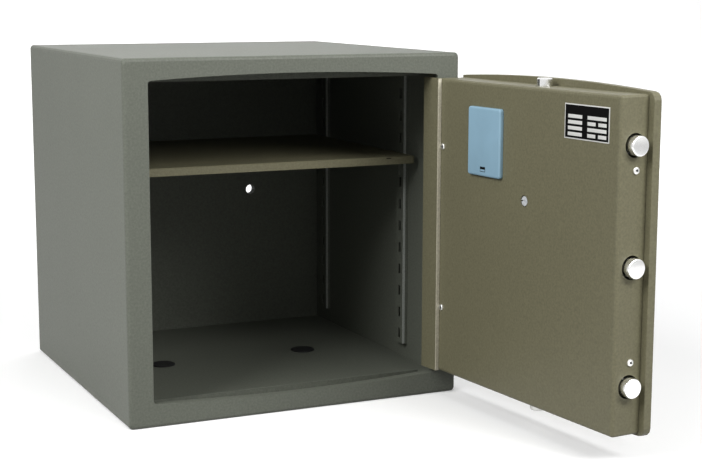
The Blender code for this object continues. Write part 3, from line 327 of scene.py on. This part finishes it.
def surface(name, rings, look, body, closed=False):
    """A mesh through equal rings, riding on a body.

    Each quad joins two neighbours of one ring to the same two of the next. When closed, the last ring
    joins the first. If not, both end rings get a face.
    """
    points = np.asarray(rings, float)
    count, around = points.shape[:2]
    rows = count if closed else count - 1
    i, j = np.meshgrid(np.arange(rows), np.arange(around), indexing="ij")
    here = i * around
    after = (i + 1) % count * around
    beside = (j + 1) % around
    quads = np.stack([here + j, here + beside, after + beside, after + j], axis=-1)
    faces = quads.reshape(-1, 4).tolist()
    if not closed:
        faces.append(list(range(around))[::-1])
        faces.append(list(range((count - 1) * around, count * around)))
    mesh = bpy.data.meshes.new(name)
    mesh.from_pydata(points.reshape(-1, 3).tolist(), [], faces)
    return settle(name, mesh, look, body)


def settle(name, mesh, look, body):
    """Mend the facing, shade the mesh and let a body carry it."""
    work = bmesh.new()
    work.from_mesh(mesh)
    bmesh.ops.recalc_face_normals(work, faces=work.faces)
    work.to_mesh(mesh)
    work.free()
    mesh.shade_smooth()
    mesh.set_sharp_from_angle(angle=SMOOTH_ANGLE)
    mesh.materials.append(look)
    made = bpy.data.objects.new(name, mesh)
    bpy.context.collection.objects.link(made)
    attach(made, body)
    return made


def basis(axis):
    """An axis as a unit vector, and two unit vectors square to it, from cross products."""
    axis = np.asarray(axis, float)
    axis = axis / np.linalg.norm(axis)
    upright = abs(axis[2]) >= NEARLY_UPRIGHT
    helper = np.array((1.0, 0.0, 0.0)) if upright else np.array((0.0, 0.0, 1.0))
    side = np.cross(helper, axis)
    side /= np.linalg.norm(side)
    return axis, side, np.cross(axis, side)


def turned_rings(origin, axis, profile, sides):
    """Rings of a turned shape, from a profile of (radius, distance along the axis).

    Each point is the origin, plus the axis times the distance, plus a unit circle times the radius.
    """
    axis, side, up = basis(axis)
    turns = np.linspace(0.0, 2 * np.pi, sides, endpoint=False)
    circle = np.outer(np.cos(turns), side) + np.outer(np.sin(turns), up)
    radius, along = np.asarray(profile, float).T[:, :, None, None]
    return np.asarray(origin) + axis * along + circle * radius


def outline(reach_x, reach_z, radius, steps):
    """Places across and up of the points round a rectangle with round corners.

    Each point is a corner's middle, at plus or minus the reach, plus the radius times the cosine (across)
    or the sine (up) of a turn. The turn grows by a quarter at each corner.
    """
    turns = (QUARTER_TURN * (np.arange(len(CORNER_SIDE_X))[:, None] + np.arange(steps + 1) / steps)).ravel()
    side_x = np.repeat(CORNER_SIDE_X, steps + 1)
    side_z = np.repeat(CORNER_SIDE_Z, steps + 1)
    return side_x * reach_x + radius * np.cos(turns), side_z * reach_z + radius * np.sin(turns)


def box_rings(low, high, rounding, steps=SLAB_STEPS):
    """Rings of a slab with round corners, whose edge at the high Y side is a quarter circle.

    Along that edge a ring is drawn in by the rounding times one less the cosine of a turn, and lies below
    the high side by the rounding times one less its sine. A first ring lies on the low Y side.
    """
    low = np.asarray(low, float)
    high = np.asarray(high, float)
    middle = (low + high) / 2
    half = (high - low) / 2
    turns = QUARTER_TURN * np.arange(steps + 1) / steps
    inset = np.append(0.0, rounding * (1 - np.cos(turns)))[:, None]
    level = np.append(low[1], high[1] - rounding * (1 - np.sin(turns)))[:, None]
    corner = np.maximum(rounding * CORNER_SHARE - inset, rounding * CORNER_LEAST)
    x, z = outline(half[0] - inset - corner, half[2] - inset - corner, corner, steps)
    return np.stack([middle[0] + x, np.broadcast_to(level, x.shape), middle[2] + z], axis=-1)


print("tools for turned pieces and slabs, smooth up to", round(math.degrees(SMOOTH_ANGLE)), "degrees")

# %% [markdown]
# ## Bolts with a turned finish
#
# The CAD bolts have few sides, enough for collision. The three bright lock bolts are what the eye goes to
# first, so they are turned again here with many more sides and a rounded nose. Each new bolt takes its
# place and size from the CAD bolt it stands for.

# %% Turn the bolts
NOSE = 0.0012
NOSE_STEPS = 5
BOLT_SIDES = 72


def nose_profile(radius, length):
    """Radius and distance along a bar whose far end is rounded.

    Over the nose a turn runs from nothing to a quarter. The radius falls by the nose times one less the
    turn's cosine, and the distance is the length less the nose times one less its sine.
    """
    turns = QUARTER_TURN * np.arange(1, NOSE_STEPS + 1) / NOSE_STEPS
    radii = radius - NOSE * (1 - np.cos(turns))
    places = length - NOSE * (1 - np.sin(turns))
    return np.vstack([(radius, 0.0), (radius, length - NOSE), np.column_stack([radii, places])])


for name in ("lock_bolt_top", "lock_bolt_middle", "lock_bolt_bottom"):
    low, high = shut_box(name)
    middle = (low + high) / 2
    radius = (high[2] - low[2]) / 2
    start = np.array((high[0], middle[1], middle[2]))
    rings = turned_rings(start, (-1, 0, 0), nose_profile(radius, high[0] - low[0]), BOLT_SIDES)
    bolt = surface(f"{name}_bar", moved(rings, OPEN), looks["bright_steel"], "bolt_carrier")
    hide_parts(name)
print("turned three lock bolts of", round(2 * radius * MM, 1), "mm")

# %% [markdown]
# ## Screws
#
# Four small screws show on the door: two beside the hinge leaf and two on the lock side. Each is a pale
# ring round a dark centre: a plated head with a sunk socket, and a dark floor in the socket that is
# painted shade.

# %% Fit the screws
SCREW_RADIUS = 0.0036
SCREW_HEIGHT = 0.0018
SCREW_SIDES = 32
SCREW_EDGE = SCREW_RADIUS * 0.22
EDGE_INSET = SCREW_EDGE * 0.4
EDGE_DROP = SCREW_EDGE * 0.3
SOCKET_RADIUS = 0.0015
SOCKET_DEPTH = 0.0012
SOCKET_SIDES = 6
SOCKET_FLOOR_RADIUS = SOCKET_RADIUS * 0.97
SOCKET_FLOOR_DEPTH = SOCKET_DEPTH * 0.8
INNER_SCREW_FROM_HINGE_EDGE = 0.0098
INNER_SCREW_HEIGHTS = {"upper": 0.287, "lower": 0.1044}
SIDE_SCREW_DEPTH_IN = 0.020
SIDE_SCREW_HEIGHTS = {"upper": 0.2904, "lower": 0.1032}
screw_look = metal("screw_zinc", (0.83, 0.83, 0.81), roughness=0.33)
socket_shade_look = plastic("socket_shadow", (0.02, 0.02, 0.02), roughness=0.6)


def screw(name, place, axis, body):
    """A turned head with an eased edge and a sunk socket, and a six-sided dark floor of painted shade in the
    socket.
    """
    head_profile = [
        (SCREW_RADIUS, 0.0),
        (SCREW_RADIUS, SCREW_HEIGHT - SCREW_EDGE),
        (SCREW_RADIUS - EDGE_INSET, SCREW_HEIGHT - EDGE_DROP),
        (SCREW_RADIUS - SCREW_EDGE, SCREW_HEIGHT),
        (SOCKET_RADIUS, SCREW_HEIGHT),
        (SOCKET_RADIUS, SCREW_HEIGHT - SOCKET_DEPTH),
    ]
    head_rings = moved(turned_rings(place, axis, head_profile, SCREW_SIDES), OPEN)
    head = surface(name, head_rings, screw_look, body)
    floor_profile = [(SOCKET_FLOOR_RADIUS, 0.0), (SOCKET_FLOOR_RADIUS, SCREW_HEIGHT - SOCKET_FLOOR_DEPTH)]
    # The dark floor in the socket is painted shade.
    floor_rings = moved(turned_rings(place, axis, floor_profile, SOCKET_SIDES), OPEN)
    dark = surface(f"{name}_socket", floor_rings, socket_shade_look, body)


for label, height in INNER_SCREW_HEIGHTS.items():
    place = (cover_high[0] - INNER_SCREW_FROM_HINGE_EDGE, cover_high[1], height)
    screw(f"inner_screw_{label}", place, (0, 1, 0), "door")
for label, height in SIDE_SCREW_HEIGHTS.items():
    place = (cover_low[0], cover_high[1] - SIDE_SCREW_DEPTH_IN, height)
    screw(f"side_screw_{label}", place, (-1, 0, 0), "door")
print("fitted four screws")

# %% [markdown]
# ## A small plate
#
# Near the top corner of the door's inner face is a small dark plate with a pale rim. Blank pale fields
# stand on it in four rows: one at the left of each row, and one or two at the right. Each field is given by
# the shares of the plate's width at which it starts and ends. Seen from inside, the shut door's X runs from
# right to left, so the shares are counted from the plate's high X side.

# %% Fix the plate
PLATE_LEFT = -0.1427
PLATE_RIGHT = -0.0740
PLATE_LOW = 0.3155
PLATE_HIGH = 0.3500
PLATE_SHEET = 0.0004
PLATE_RIM = 0.0011
PLATE_COAT = 0.0001
FIELD_RISE = 0.0001
FIELD_HEIGHT = 0.0035
FIELD_PITCH = 0.0058
FIELD_BOTTOM = 0.0032
FIELD_ROWS = (
    ((0.08, 0.40), (0.52, 0.70), (0.76, 0.94)),
    ((0.08, 0.40), (0.52, 0.94)),
    ((0.08, 0.40), (0.52, 0.70), (0.76, 0.94)),
    ((0.08, 0.40), (0.52, 0.94)),
)
EDGE = 0.00005
COAT_SPECULAR = 0.05
rim_look = plastic("plate_pale", (0.66, 0.66, 0.64), roughness=0.45)
# Black for the plate's own coat, and also painted shade in the latch window and the shelf slit.
black_coat_and_shade_look = plastic("black_coat_and_shade", (0.003, 0.003, 0.003), roughness=0.60, specular=COAT_SPECULAR)
face = cover_high[1]


def slab(name, low, high, look, body="door"):
    """A thin slab on the shut door, from its lowest to its highest corner."""
    made = surface(name, moved(box_rings(low, high, EDGE), OPEN), look, body)


sheet_face = face + PLATE_SHEET
coat_face = sheet_face + PLATE_COAT
field_face = coat_face + FIELD_RISE
slab("plate_rim", (PLATE_LEFT, face, PLATE_LOW), (PLATE_RIGHT, sheet_face, PLATE_HIGH), rim_look)
slab("plate_coat", (PLATE_LEFT + PLATE_RIM, sheet_face, PLATE_LOW + PLATE_RIM),
     (PLATE_RIGHT - PLATE_RIM, coat_face, PLATE_HIGH - PLATE_RIM), black_coat_and_shade_look)
plate_width = PLATE_RIGHT - PLATE_LEFT
field_number = 0
for row, fields in enumerate(FIELD_ROWS):
    bottom = PLATE_LOW + FIELD_BOTTOM + row * FIELD_PITCH
    for start, end in fields:
        field_number += 1
        field_low = (PLATE_RIGHT - end * plate_width, coat_face, bottom)
        field_high = (PLATE_RIGHT - start * plate_width, field_face, bottom + FIELD_HEIGHT)
        slab(f"plate_field_{field_number}", field_low, field_high, rim_look)
print("plate", round(plate_width * MM, 1), "mm wide with", field_number, "fields")

# %% [markdown]
# ## The battery cover
#
# The cover is a shallow moulded cap. Its broad rounded edge catches more light than its face, which is what
# makes it look moulded and not cut from sheet, so it is drawn again here, deeper and rounder than the CAD
# cover it stands for. Near its lower edge a tongue snaps in behind a small window. A black slab in the
# window above the tongue is painted shade, and the tongue is of the same blue.

# %% Mould the battery cover
CAP_HEIGHT = 0.0044
CAP_ROUND = 0.0022
CAP_STEPS = 6
CAP_TRIM = 0.0016
LATCH_HALF = 0.0047
LATCH_BOTTOM = 0.0050
LATCH_TOP = 0.0104
TONGUE_TOP = 0.0076
TONGUE_MARGIN = 0.0006
WINDOW_PROUD = 0.0001
TONGUE_PROUD = 0.0002
lid_low, lid_high = shut_box("battery_cover")
lid_x = (lid_low[0] + lid_high[0]) / 2
lid_y = lid_low[1]
lid_z = lid_low[2]
cap_face = lid_y + CAP_HEIGHT
cap_rings = box_rings(lid_low, (lid_high[0] - CAP_TRIM, cap_face, lid_high[2]), CAP_ROUND, CAP_STEPS)
cap = surface("battery_cap", moved(cap_rings, OPEN), looks["blue_plastic"], "battery_cover")
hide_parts("battery_cover")
# A black slab in the latch window, above the tongue: painted shade.
slab("latch_painted_shade", (lid_x - LATCH_HALF, lid_y, lid_z + LATCH_BOTTOM),
     (lid_x + LATCH_HALF, cap_face + WINDOW_PROUD, lid_z + LATCH_TOP), black_coat_and_shade_look,
     "battery_cover")
slab("latch_tongue", (lid_x - LATCH_HALF + TONGUE_MARGIN, lid_y, lid_z + LATCH_BOTTOM + TONGUE_MARGIN),
     (lid_x + LATCH_HALF - TONGUE_MARGIN, cap_face + TONGUE_PROUD, lid_z + TONGUE_TOP),
     looks["blue_plastic"], "battery_cover")
print("cap stands", round((cap_face - face) * MM, 1), "mm above the inner cover")

# %% [markdown]
# ## Bright edges
#
# Two long edges show as pale lines: the edge of the hinge leaf, which stands up beside the inner cover,
# and the front corner of each shelf rail. Each is a thin strip over the CAD edge, in a paler and smoother
# coat. The paler colour is a painted highlight along the edge.

# %% Lay the edge strips
STRIP_PROUD = 0.0002
STRIP_SINK = 0.0010
STRIP_TRIM = 0.0004
STRIP_ROUND = 0.00015
RAIL_STRIP = 0.0026
# The pale colours of the edge strips are painted highlights; their smoother roughness belongs to the coat.
leaf_edge_highlight_look = paint("olive_painted_highlight", (0.50, 0.47, 0.37), roughness=0.34)
rail_edge_highlight_look = paint("grey_painted_highlight", (0.40, 0.42, 0.39), roughness=0.36)
leaf_low, leaf_high = shut_box("hinge_leaf")
strip_low = (leaf_low[0] - STRIP_PROUD, face + STRIP_TRIM, leaf_low[2] + STRIP_TRIM)
strip_high = (leaf_low[0] + STRIP_SINK, leaf_high[1] + STRIP_PROUD, leaf_high[2] - STRIP_TRIM)
leaf_edge = box_rings(strip_low, strip_high, STRIP_ROUND)
strip = surface("leaf_edge", moved(leaf_edge, OPEN), leaf_edge_highlight_look, "door")
# Rail corners: strips in the pale painted-highlight coat.
for side, sign in (("left", -1), ("right", 1)):
    for place in ("front", "rear"):
        rail_low, rail_high = (np.array(corner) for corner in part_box(f"rail_{side}_{place}"))
        inner = min(abs(rail_low[0]), abs(rail_high[0]))
        ends = sorted((sign * (inner - STRIP_PROUD), sign * (inner + RAIL_STRIP)))
        rings = box_rings((ends[0], rail_low[1] - STRIP_PROUD, rail_low[2] + STRIP_TRIM),
                          (ends[1], rail_low[1] + STRIP_SINK, rail_high[2] - STRIP_TRIM), STRIP_ROUND)
        strip = surface(f"rail_edge_{side}_{place}", rings, rail_edge_highlight_look, "body")
print("leaf edge stands", round((leaf_high[1] - face) * MM, 1), "mm above the inner cover")

# %% [markdown]
# ## A slit in the shelf's edge
#
# Near its right end the shelf has a short slit in the fold of its front edge. A dark slab, a tenth of a
# millimetre proud of the fold, stands for its shadow.

# %% Cut the slit's shadow
SLIT_FROM_SIDE = 0.0345
SLIT_HALF = 0.0032
SLIT_HEIGHT = 0.0011
SLIT_BELOW_TOP = 0.0011
SLIT_PROUD = 0.0001
shelf_low, shelf_high = (np.array(corner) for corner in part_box("shelf"))
slit_x = shelf_high[0] - SLIT_FROM_SIDE
slit_top = shelf_high[2] - SLIT_BELOW_TOP
slit_rings = box_rings((slit_x - SLIT_HALF, shelf_low[1] - SLIT_PROUD, slit_top - SLIT_HEIGHT),
                       (slit_x + SLIT_HALF, shelf_low[1] + SLIT_HEIGHT, slit_top), EDGE)
slit = surface("shelf_slit", slit_rings, black_coat_and_shade_look, "shelf")
print("shelf", (shelf_high - shelf_low).round(4))

# %% [markdown]
# ## Painted-over seams
#
# On the real safe the frame and the back are welded to the casing, dressed flush and painted, so the joint
# can't be seen. The CAD pieces need a hair of air between them. A thin ring over each joint closes it
# again.

# %% Close the seams
SEAM_HALF = 0.0006
SEAM_PROUD = 0.00003
SEAM_STEPS = 8
BODY_CORNER = 0.0045
casing_low, casing_high = (np.array(corner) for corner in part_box("casing"))
half_wide = (casing_high[0] - casing_low[0]) / 2
half_tall = (casing_high[2] - casing_low[2]) / 2
centre_z = (casing_high[2] + casing_low[2]) / 2


def body_ring(grow, level):
    """The body's outline at one depth, with its corner radius grown by a length."""
    x, z = outline(half_wide - BODY_CORNER, half_tall - BODY_CORNER, BODY_CORNER + grow, SEAM_STEPS)
    return np.stack([x, np.full_like(x, level), centre_z + z], axis=-1)


for label, level in (("front", casing_low[1]), ("back", casing_high[1])):
    rings = [body_ring(-SEAM_HALF, level - SEAM_HALF), body_ring(SEAM_PROUD, level - SEAM_HALF),
             body_ring(SEAM_PROUD, level + SEAM_HALF), body_ring(-SEAM_HALF, level + SEAM_HALF)]
    seam = surface(f"seam_{label}", rings, looks["body_paint"], "body", closed=True)
print("closed two seams")

# %% [markdown]
# ## Legends on the keys
#
# Each key carries one plain figure, cut from a built-in font and laid a tenth of a millimetre proud of the
# key.

# %% Print the keys
LEGEND_SIZE = 0.0085
LEGEND_RISE = 0.0001
LEGENDS = "123456789*0#"
legend_look = plastic("legend_white", (0.75, 0.75, 0.74), roughness=0.5)
for number, figure in enumerate(LEGENDS, start=1):
    key = f"key_{number:02d}"
    low, high = shut_box(key)
    curve = bpy.data.curves.new(f"{key}_figure", "FONT")
    curve.body = figure
    curve.size = LEGEND_SIZE
    curve.align_x = "CENTER"
    curve.align_y = "CENTER"
    curve.extrude = LEGEND_RISE
    holder = bpy.data.objects.new("figure", curve)
    bpy.context.collection.objects.link(holder)
    graph = bpy.context.evaluated_depsgraph_get()
    mesh = bpy.data.meshes.new_from_object(holder.evaluated_get(graph))
    bpy.data.objects.remove(holder)
    middle = (low + high) / 2
    upright = Matrix.Rotation(QUARTER_TURN, MATRIX_SIZE, "X")
    stand = Matrix.Translation((middle[0], low[1], middle[2])) @ upright
    mesh.transform(Matrix(OPEN) @ stand)
    mesh.materials.clear()
    legend = settle(f"{key}_legend", mesh, legend_look, key)
print("printed", len(LEGENDS), "keys")

# %% [markdown]
# ## The ground
#
# The photograph has a plain white ground. A floor sweeps up into a backdrop behind the safe. The camera and
# the reflections see it white, but light that bounces off it finds it much darker, because in the
# photograph little light comes up from below. The Light Path node tells the two apart.

# %% Stage
GROUND_COLOUR = (0.93, 0.93, 0.93)
BOUNCE_COLOUR = (0.15, 0.15, 0.15)
GROUND_GLOW = 0.15
GROUND_DRIFT = 0.985
GROUND_SCALE = 3.0
GROUND_ROUGHNESS = 0.9
FLOOR_HALF = 6.0
SWEEP_START = 2.6
SWEEP_RADIUS = 1.6
SWEEP_STEPS = 12
SWEEP_TOP = 5.0
white = Finish("white_ground", GROUND_ROUGHNESS)
seen = white.ramp(white.noise(GROUND_SCALE), shade(GROUND_COLOUR, GROUND_DRIFT), GROUND_COLOUR)
bounced = white.ramp(white.noise(GROUND_SCALE), shade(BOUNCE_COLOUR, GROUND_DRIFT), BOUNCE_COLOUR)
seen_share = looked_at(white.tree)
white.colour(white.mix(bounced, seen, seen_share))
white.glow(seen_share, GROUND_GLOW)
# The sweep is a quarter circle: forward by the sine of a turn, up by one less its cosine.
turns = QUARTER_TURN * np.arange(SWEEP_STEPS + 1) / SWEEP_STEPS
sweep_y = SWEEP_START + SWEEP_RADIUS * np.sin(turns)
sweep_z = SWEEP_RADIUS * (1 - np.cos(turns))
ground_y = np.concatenate([[-FLOOR_HALF], sweep_y, [SWEEP_START + SWEEP_RADIUS]])
ground_z = np.concatenate([[0.0], sweep_z, [SWEEP_TOP]])
ground_x = np.tile((-FLOOR_HALF, FLOOR_HALF), len(ground_y))
corners = np.column_stack([ground_x, np.repeat(ground_y, 2), np.repeat(ground_z, 2)])
first = 2 * np.arange(len(ground_y) - 1)
strips = np.column_stack([first, first + 1, first + 3, first + 2])
ground = bpy.data.meshes.new("ground")
ground.from_pydata(corners.tolist(), [], strips.tolist())
ground.shade_smooth()
ground.materials.append(white.material)
ground_object = bpy.data.objects.new("ground", ground)
bpy.context.collection.objects.link(ground_object)
print("ground of", len(strips), "strips")

# %% [markdown]
# ## Lamps
#
# The safe is lit by three soft lamps: one on the left, which the side of the body and the door's inner face
# look at, one lower on the right, which reaches the front and the shelf but leaves the back of the safe
# dark, and a small one high in front. The backdrop has a lamp of its own. The world works like the ground:
# white to the camera and to reflections, and weaker where it lights the safe.

# %% Lamps
WHITE = (1.0, 1.0, 1.0)
SAFE_MIDDLE = Vector((0.0, -0.15, 0.2))
BACKDROP_MIDDLE = Vector((1.7, 3.9, 0.9))
LEFT_PLACE = (-1.40, -0.65, 1.38)
LEFT_SIZE = 1.0
LEFT_POWER = 34.0
RIGHT_PLACE = (0.66, -1.45, 1.05)
RIGHT_SIZE = 0.6
RIGHT_POWER = 17.0
FRONT_PLACE = (0.10, -1.45, 1.60)
FRONT_SIZE = 0.5
FRONT_POWER = 5.0
BACKDROP_PLACE = (1.4, 1.6, 2.8)
BACKDROP_SIZE = 2.4
BACKDROP_POWER = 115.0
WORLD_STRENGTH = 0.32


def lamp(name, place, target, size, power):
    """A square soft lamp aimed at a point."""
    light = bpy.data.lights.new(name, "AREA")
    light.shape = "SQUARE"
    light.size = size
    light.energy = power
    made = bpy.data.objects.new(name, light)
    made.location = place
    made.rotation_euler = (target - made.location).to_track_quat("-Z", "Y").to_euler()
    bpy.context.collection.objects.link(made)


lamp("left_lamp", LEFT_PLACE, SAFE_MIDDLE, LEFT_SIZE, LEFT_POWER)
lamp("right_lamp", RIGHT_PLACE, SAFE_MIDDLE, RIGHT_SIZE, RIGHT_POWER)
lamp("front_lamp", FRONT_PLACE, SAFE_MIDDLE, FRONT_SIZE, FRONT_POWER)
lamp("backdrop_lamp", BACKDROP_PLACE, BACKDROP_MIDDLE, BACKDROP_SIZE, BACKDROP_POWER)
world = bpy.data.worlds.new("studio")
world.use_nodes = True
sky = world.node_tree.nodes["Background"]
sky.inputs["Color"].default_value = rgba(WHITE)
# The strength is the seen share times what is missing to one, plus the weaker strength.
strength = world.node_tree.nodes.new("ShaderNodeMath")
strength.operation = "MULTIPLY_ADD"
world.node_tree.links.new(looked_at(world.node_tree), strength.inputs[0])
strength.inputs[1].default_value = 1.0 - WORLD_STRENGTH
strength.inputs[2].default_value = WORLD_STRENGTH
world.node_tree.links.new(strength.outputs["Value"], sky.inputs["Strength"])
bpy.context.scene.world = world
print("four lamps, world", WORLD_STRENGTH)

# %% [markdown]
# ## Camera
#
# The camera stands where the photograph's edges say it stood: its place and turn were fitted to the edges
# of the body. The lens follows from the focal length in pixels and the width of the picture. The two
# measured directions are made exactly square to each other before they turn the camera.

# %% Camera
FRAME_WIDTH = 702
FOCAL_PIXELS = 1524.7
SENSOR = 36.0
CAMERA_PLACE = (-0.6436, -1.7006, 0.4620)
RIGHT = (0.90545, -0.42445, 0.00194)
DOWN = (-0.06629, -0.14594, -0.98707)
lens = bpy.data.cameras.new("camera")
lens.sensor_width = SENSOR
lens.lens = FOCAL_PIXELS / FRAME_WIDTH * SENSOR
camera = bpy.data.objects.new("camera", lens)
right = np.array(RIGHT) / np.linalg.norm(RIGHT)
up = -np.array(DOWN)
up = up - right * (up @ right)
up /= np.linalg.norm(up)
back = np.cross(right, up)
turn = Matrix(np.stack([right, up, back], axis=1).tolist()).to_4x4()
camera.matrix_world = Matrix.Translation(CAMERA_PLACE) @ turn
bpy.context.collection.objects.link(camera)
bpy.context.scene.camera = camera
bpy.context.scene.view_settings.view_transform = "Standard"
print("lens", round(lens.lens, 2), "mm")
